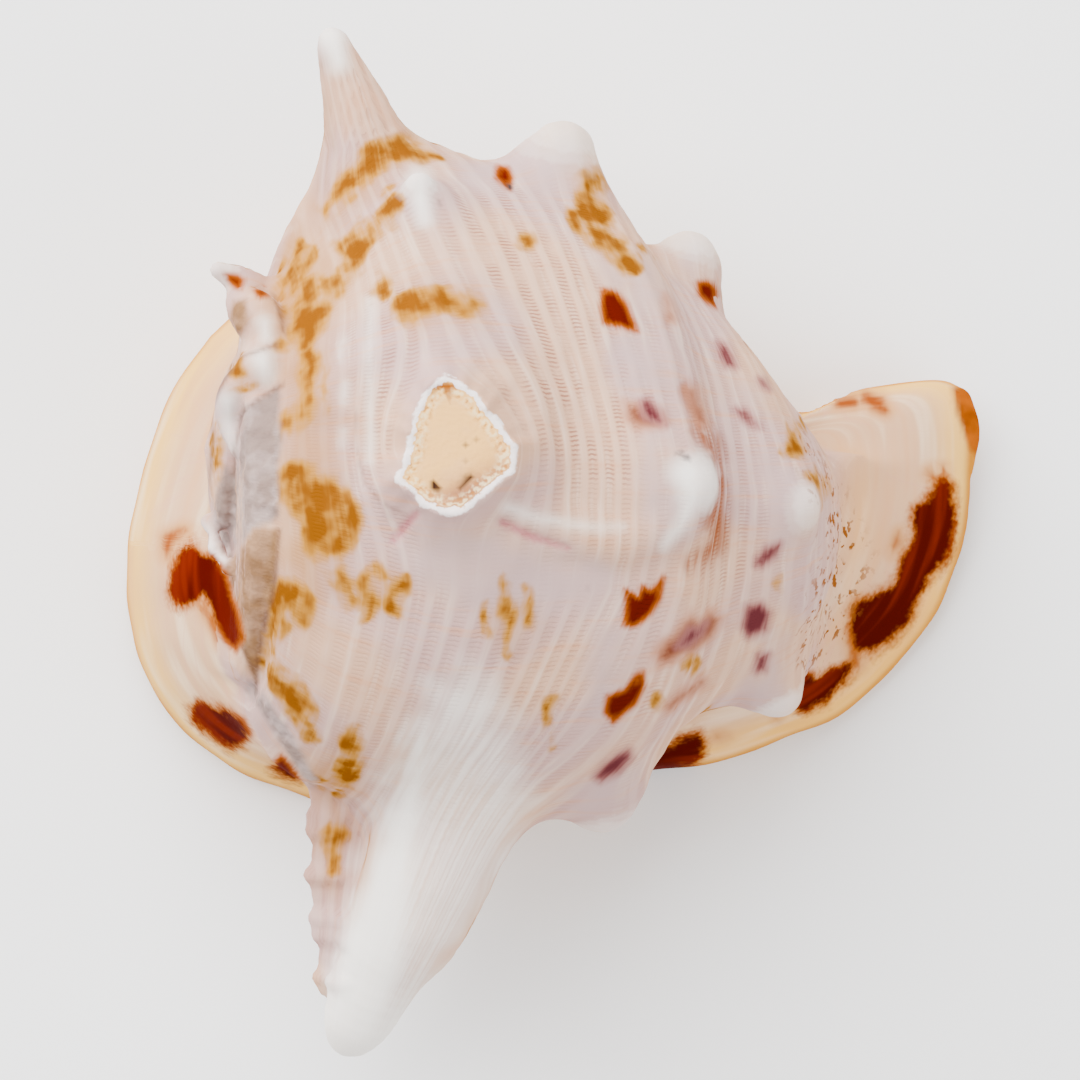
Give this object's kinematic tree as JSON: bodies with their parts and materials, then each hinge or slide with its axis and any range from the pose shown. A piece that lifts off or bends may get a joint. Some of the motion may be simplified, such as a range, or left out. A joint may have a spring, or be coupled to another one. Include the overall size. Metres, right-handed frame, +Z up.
{
  "type": "horned helmet shell",
  "caption": "Large horned helmet seashell lying on its flat shield, with long shoulder horns, a broken central horn and brown spots.",
  "frame": {"origin": "middle of the bounding box, on the surface that the shell rests on", "axes": "+X towards the siphonal canal, +Y towards the parietal side away from the outer lip, +Z up out of the shell's back"},
  "size_m": [0.2, 0.2284, 0.1329],
  "materials": {
    "shell": "satin"
  },
  "bodies": {
    "root": {"shell": "shell"}
  },
  "joints": []
}
